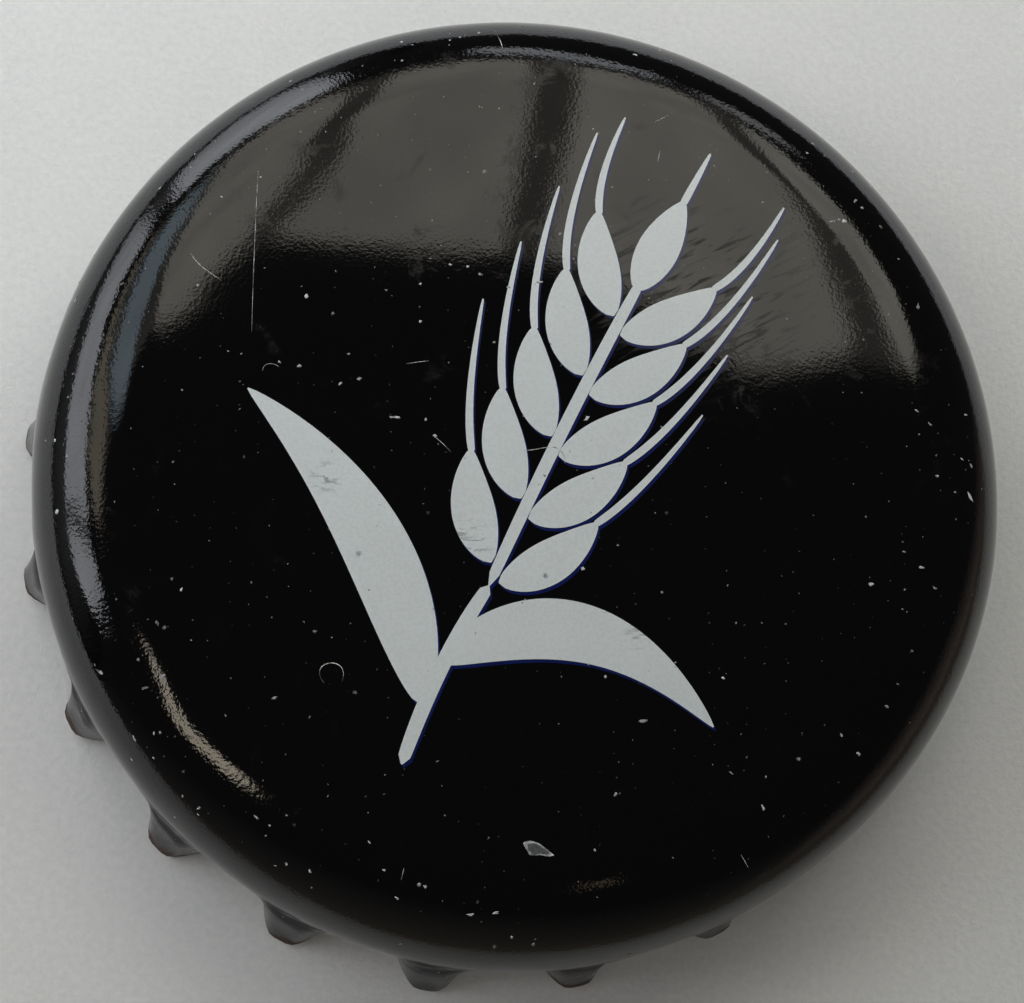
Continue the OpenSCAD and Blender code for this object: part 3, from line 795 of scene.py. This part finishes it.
# Each patch: radiance, tint, the share of the way to its middle that its soft rim takes, distance
# behind the dome, and outline.
patches = [
    # Four panes of the glass roof, and haze behind the rafters between them
    (1.92, warm, 0.08, 0, [
        (32, 35), (42, 37.5), (52, 40), (57, 44), (60, 48), (61.5, 53), (55, 52.5), (48, 50.5),
        (40, 48.5), (33, 46.5), (29, 43), (29, 38)]),
    (1.84, warm, 0.08, 0, [
        (35, 33.3), (38, 29.5), (42, 26.8), (50, 26.3), (64, 26.3), (72, 26.8), (77.5, 26.5), (77.3, 36),
        (78.5, 44), (79.5, 52), (72, 52.5), (66, 53), (63.5, 49), (61, 44), (57.3, 40.3), (52, 38.1),
        (44, 35.5)]),
    (1.74, warm, 0.08, 0, [
        (80.5, 26), (84, 26), (88, 26), (92, 26), (96, 26.2), (100, 26.5), (104, 27), (107.5, 27.5),
        (111, 28.2), (113.5, 28.6), (111, 29.4), (108, 30.2), (105, 31.2), (102.5, 32.5), (101, 34),
        (100.4, 37), (99.6, 44), (99, 52), (90, 52), (83, 52), (81.5, 44), (80.3, 36)]),
    (1.74, warm, 0.08, 0, [
        (102.5, 48), (103.7, 42.5), (104.6, 37.4), (104.9, 34.2), (106.5, 32.3), (109.5, 31.1),
        (113, 30), (116, 28.9), (119.5, 28.3), (123.5, 27.9), (127.5, 26.9), (133, 27.2), (133.5, 32),
        (131, 37), (127, 42), (123, 47), (120, 52), (112, 52.5), (104, 52.5)]),
    (0.36, warm, 0.05, 4, [
        (29, 36), (36, 31.5), (42, 26.8), (50, 26.2), (64, 26.2), (80, 26), (92, 26), (101, 26.4),
        (107, 27.2), (113, 28.3), (117, 28.3), (127, 26.2), (137, 29), (152, 31.5), (172, 35), (172, 40),
        (156, 47), (140, 52.5), (120, 53.5), (90, 53.5), (62, 54.5), (45, 51), (30, 45)]),
    # A bluer pane further left, and a cream ledge under it
    (2.25, blue, 0.2, 0, [
        (138, 34), (142, 30.5), (148, 29), (153.5, 31), (153.5, 35), (149, 39.5), (143, 43), (138, 46.5),
        (133, 50), (125, 51.5), (121.5, 51), (124, 47), (128, 42.5), (132, 38.5)]),
    (1.45, cream, 0.15, 0, [
        (153, 35.5), (158, 34), (165, 34), (171, 35), (175, 37), (172, 39), (166, 41), (160, 43),
        (154, 45), (148, 48), (142, 51), (136, 53.5), (130, 54), (137, 50), (144, 46), (150, 41)]),
    # Three tall windows
    (3.60, cool, 0.15, 0, [
        (105, 56), (107, 54), (113, 53.5), (120, 55.5), (127, 57), (131, 59), (131.5, 66), (131.5, 76),
        (131, 83), (125, 87), (118, 88), (112, 86), (109, 80), (107.5, 73), (105.5, 66)]),
    (3.30, cool, 0.12, 0, [
        (134.5, 59), (140, 58), (146, 55.5), (151, 51), (156, 47), (161, 44), (167, 43), (172, 43),
        (176, 43.5), (176.5, 50), (176.5, 60), (176.5, 71), (170, 71), (162, 72.5), (155, 75), (149, 79),
        (143, 83), (138, 86), (134.5, 86)]),
    (3.40, cool, 0.2, 0, [
        (177.5, 43), (181, 41.5), (185, 42), (188, 46), (190.5, 52), (191.5, 58), (190.5, 63), (187, 68),
        (182, 71), (177.5, 71.5)]),
    # Two small panes, low behind
    (2.40, cool, 0.2, 0, [
        (69, 55.5), (76, 54), (84, 54.5), (91, 56), (91.5, 60), (91, 64), (87, 63), (80, 60), (74, 58.5),
        (69, 58.5)]),
    (1.60, plain, 0.2, 0, [
        (53, 57), (60, 55), (66.5, 54.5), (66.5, 59), (60, 60.5), (54, 61)]),
    # The slit between the curtains
    (5.00, cream, 0.3, 0, [
        (187.5, 29.5), (190, 27.5), (196, 28), (204, 29.5), (210, 29.5), (215, 27.5), (220, 25.5),
        (224.5, 25), (225, 29), (221, 31.5), (215, 33.5), (209, 35.5), (204, 33.5), (198, 31),
        (192, 30.5)]),
    # Haze behind the frames of the tall windows
    (0.36, plain, 0.4, 4, [
        (98, 74), (115, 68), (135, 66), (160, 62), (180, 60), (196, 66), (200, 80), (200, 90), (170, 91),
        (130, 91), (98, 90)]),
    # The gleam in front
    (0.80, brown, 0.25, 0, [
        (291.2, 29), (293, 28), (296, 27.5), (298.5, 27.7), (297.5, 29.2), (295, 30.2), (292.5, 30.6),
        (291, 30.2)]),
]

# Towards the table the patches lose up to six tenths of their light.
fall_from, fall_over, fall_share = 62, 26, 0.6
places, glows, faces = [], [], []
for radiance, tint, soft, behind, outline in patches:
    rim = rounded(outline)
    middle = rim.mean(0)
    shares = np.array([1, 1 - soft, 0.66 * (1 - soft), 0.33 * (1 - soft)])
    grid = middle + (rim - middle) * shares[:, None, None]
    first, count = sum(len(p) for p in places), len(rim)
    places.append(on_dome(grid.reshape(-1, 2), room_r + behind))
    lit = radiance * (1 - fall_share * smooth((grid[..., 1] - fall_from) / fall_over))
    lit[0] = 0
    glows.append(np.concatenate([lit.reshape(-1, 1) * np.array(tint), np.ones((lit.size, 1))], 1))
    faces += (ring_faces(4, count) + first).tolist() + [(np.arange(count) + first + 3 * count).tolist()]

mesh = bpy.data.meshes.new("windows")
mesh.from_pydata(np.concatenate(places).tolist(), [], faces)
glow_of = mesh.attributes.new("glow", "FLOAT_COLOR", "POINT")
glow_of.data.foreach_set("color", np.concatenate(glows).astype(np.float32).ravel())
windows = bpy.data.objects.new("windows", mesh)
windows.visible_camera = False
bpy.context.scene.collection.objects.link(windows)

# Daylight through old window glass: a little brighter and darker from place to place.
glass = bpy.data.materials.new("window_daylight")
glass.use_nodes = True
tree = glass.node_tree
tree.nodes.clear()
glow = add_node(tree, "ShaderNodeAttribute", {"attribute_name": "glow"}).outputs["Color"]
place = add_node(tree, "ShaderNodeTexCoord").outputs["Object"]
outside = add_node(tree, "ShaderNodeTexNoise", Vector=place, Scale=1 / (9 * MM), Detail=3.0)
uneven = add_node(tree, "ShaderNodeMapRange", Value=outside, _1=0.3, _2=0.7, _3=0.86, _4=1.14)
daylight = add_node(tree, "ShaderNodeEmission", Color=glow, Strength=uneven)
add_node(tree, "ShaderNodeOutputMaterial", Surface=daylight)
mesh.materials.append(glass)

# The light on the paper and the print, which the lacquer doesn't mirror: sky from behind, and a fill.
sky_at, sky_r, sky_radiance = Vector((36, 84, 60)), 35, 3.3
key = bpy.data.lights.new("sky_behind", "AREA")
key.shape = "DISK"
key.size = 2 * sky_r * MM
key.energy = pi * pi * (sky_r * MM) ** 2 * sky_radiance
key.color = linear("#f1faff")[:3]
key_lamp = bpy.data.objects.new("sky_behind", key)
key_lamp.location = sky_at * MM
key_lamp.rotation_euler = sky_at.to_track_quat("Z", "Y").to_euler()
key_lamp.visible_glossy = False
key_lamp.visible_camera = False
bpy.context.scene.collection.objects.link(key_lamp)

fill = bpy.data.lights.new("soft_fill", "SUN")
fill.angle = radians(120)
fill.energy = 0.20
fill_lamp = bpy.data.objects.new("soft_fill", fill)
fill_lamp.visible_glossy = False
bpy.context.scene.collection.objects.link(fill_lamp)

# The room: pale to the eye, and dim in reflections, with a lighter side in front and a warm one on the
# right.
world = bpy.data.worlds.new("room")
world.use_nodes = True
tree = world.node_tree
tree.nodes.clear()
eye = add_node(tree, "ShaderNodeLightPath").outputs["Is Camera Ray"]
towards = add_node(tree, "ShaderNodeTexCoord").outputs["Generated"]
frontwards = add_node(tree, "ShaderNodeVectorMath", {"operation": "DOT_PRODUCT"}, _0=towards,
                      _1=(-0.1, -0.86, -0.5))
lighter = add_node(tree, "ShaderNodeMapRange", Value=frontwards, _1=0.2, _2=0.9)
wall = add_node(tree, "ShaderNodeMix", {"data_type": "RGBA"}, _0=lighter, _6=linear("#3e3c3b"),
                _7=linear("#706c68"))
rightwards = add_node(tree, "ShaderNodeVectorMath", {"operation": "DOT_PRODUCT"}, _0=towards,
                      _1=(0.95, -0.3, -0.4))
warmer = add_node(tree, "ShaderNodeMapRange", Value=rightwards, _1=0.76, _2=1.02)
warm_wall = add_node(tree, "ShaderNodeMix", {"data_type": "RGBA"}, _0=warmer, _6=wall,
                     _7=linear("#a0948a"))
colour = add_node(tree, "ShaderNodeMix", {"data_type": "RGBA"}, _0=eye, _6=warm_wall, _7=room_grey)
room = add_node(tree, "ShaderNodeBackground", Color=colour)
add_node(tree, "ShaderNodeOutputWorld", Surface=room)
bpy.context.scene.world = world


# ---------------------------------------------------------------- camera
# Close above the cap, a little towards the lower left, looking down and slightly up the panel.

lens = 56.95
tilt_back, tilt_side = radians(-12.24), radians(5.94)
stand_off = Vector((-0.075, -0.134, 48.913))

turn = (Matrix.Rotation(tilt_back, 3, "X") @ Matrix.Rotation(tilt_side, 3, "Y")).transposed()
view = bpy.data.cameras.new("camera")
view.lens = lens
view.sensor_width = 36
view.sensor_fit = "HORIZONTAL"
view.clip_start = 1 * MM
camera = bpy.data.objects.new("camera", view)
camera.matrix_world = Matrix.Translation(turn @ stand_off * MM) @ turn.to_4x4()
bpy.context.scene.collection.objects.link(camera)
bpy.context.scene.camera = camera
bpy.context.scene.view_settings.view_transform = "Standard"
